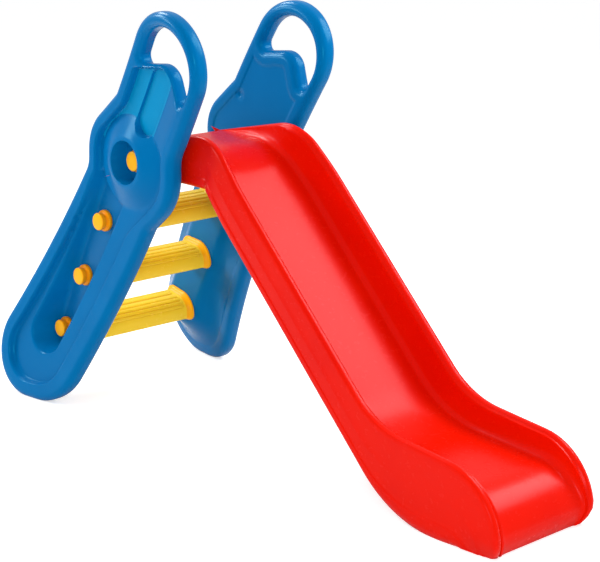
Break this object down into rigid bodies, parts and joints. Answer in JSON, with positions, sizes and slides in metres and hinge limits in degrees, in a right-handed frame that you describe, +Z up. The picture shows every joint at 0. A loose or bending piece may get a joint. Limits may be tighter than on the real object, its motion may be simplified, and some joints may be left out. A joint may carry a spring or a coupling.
{
  "type": "folding kids slide",
  "caption": "Free-standing garden slide for small children: leaning ladder of hollow side panels and ribbed steps, with a one-piece chute hinged on an axle.",
  "frame": {"origin": "middle of the footprint's box, on the ground", "axes": "+X the way a child slides, from the ladder to the toe; +Y to the sliding child's left; +Z up"},
  "size_m": [1.8952, 0.7268, 1.1905],
  "materials": {
    "blue_plastic": "glossy moulded polyethylene, light orange peel",
    "yellow_plastic": "glossy moulded polyethylene",
    "red_plastic": "glossy moulded polyethylene, worn to a soft shine on the sliding face",
    "zinc_steel": "bright zinc-plated steel tube"
  },
  "bodies": {
    "ladder": {"side_panel_left": "blue_plastic", "side_panel_right": "blue_plastic", "step_top": "yellow_plastic", "step_middle": "yellow_plastic", "step_bottom": "yellow_plastic", "step_top_cap_left": "yellow_plastic", "step_top_cap_right": "yellow_plastic", "step_middle_cap_left": "yellow_plastic", "step_middle_cap_right": "yellow_plastic", "step_bottom_cap_left": "yellow_plastic", "step_bottom_cap_right": "yellow_plastic", "axle_rod": "zinc_steel", "axle_cap_left": "yellow_plastic", "axle_cap_right": "yellow_plastic"},
    "chute": {"chute": "red_plastic"}
  },
  "joints": [
    {"name": "chute_fold", "type": "hinge", "parent": "ladder", "child": "chute", "pos_m": [-0.40944, 0, 0.76], "axis": [0, 1, 0], "range_deg": [0, 84]}
  ]
}
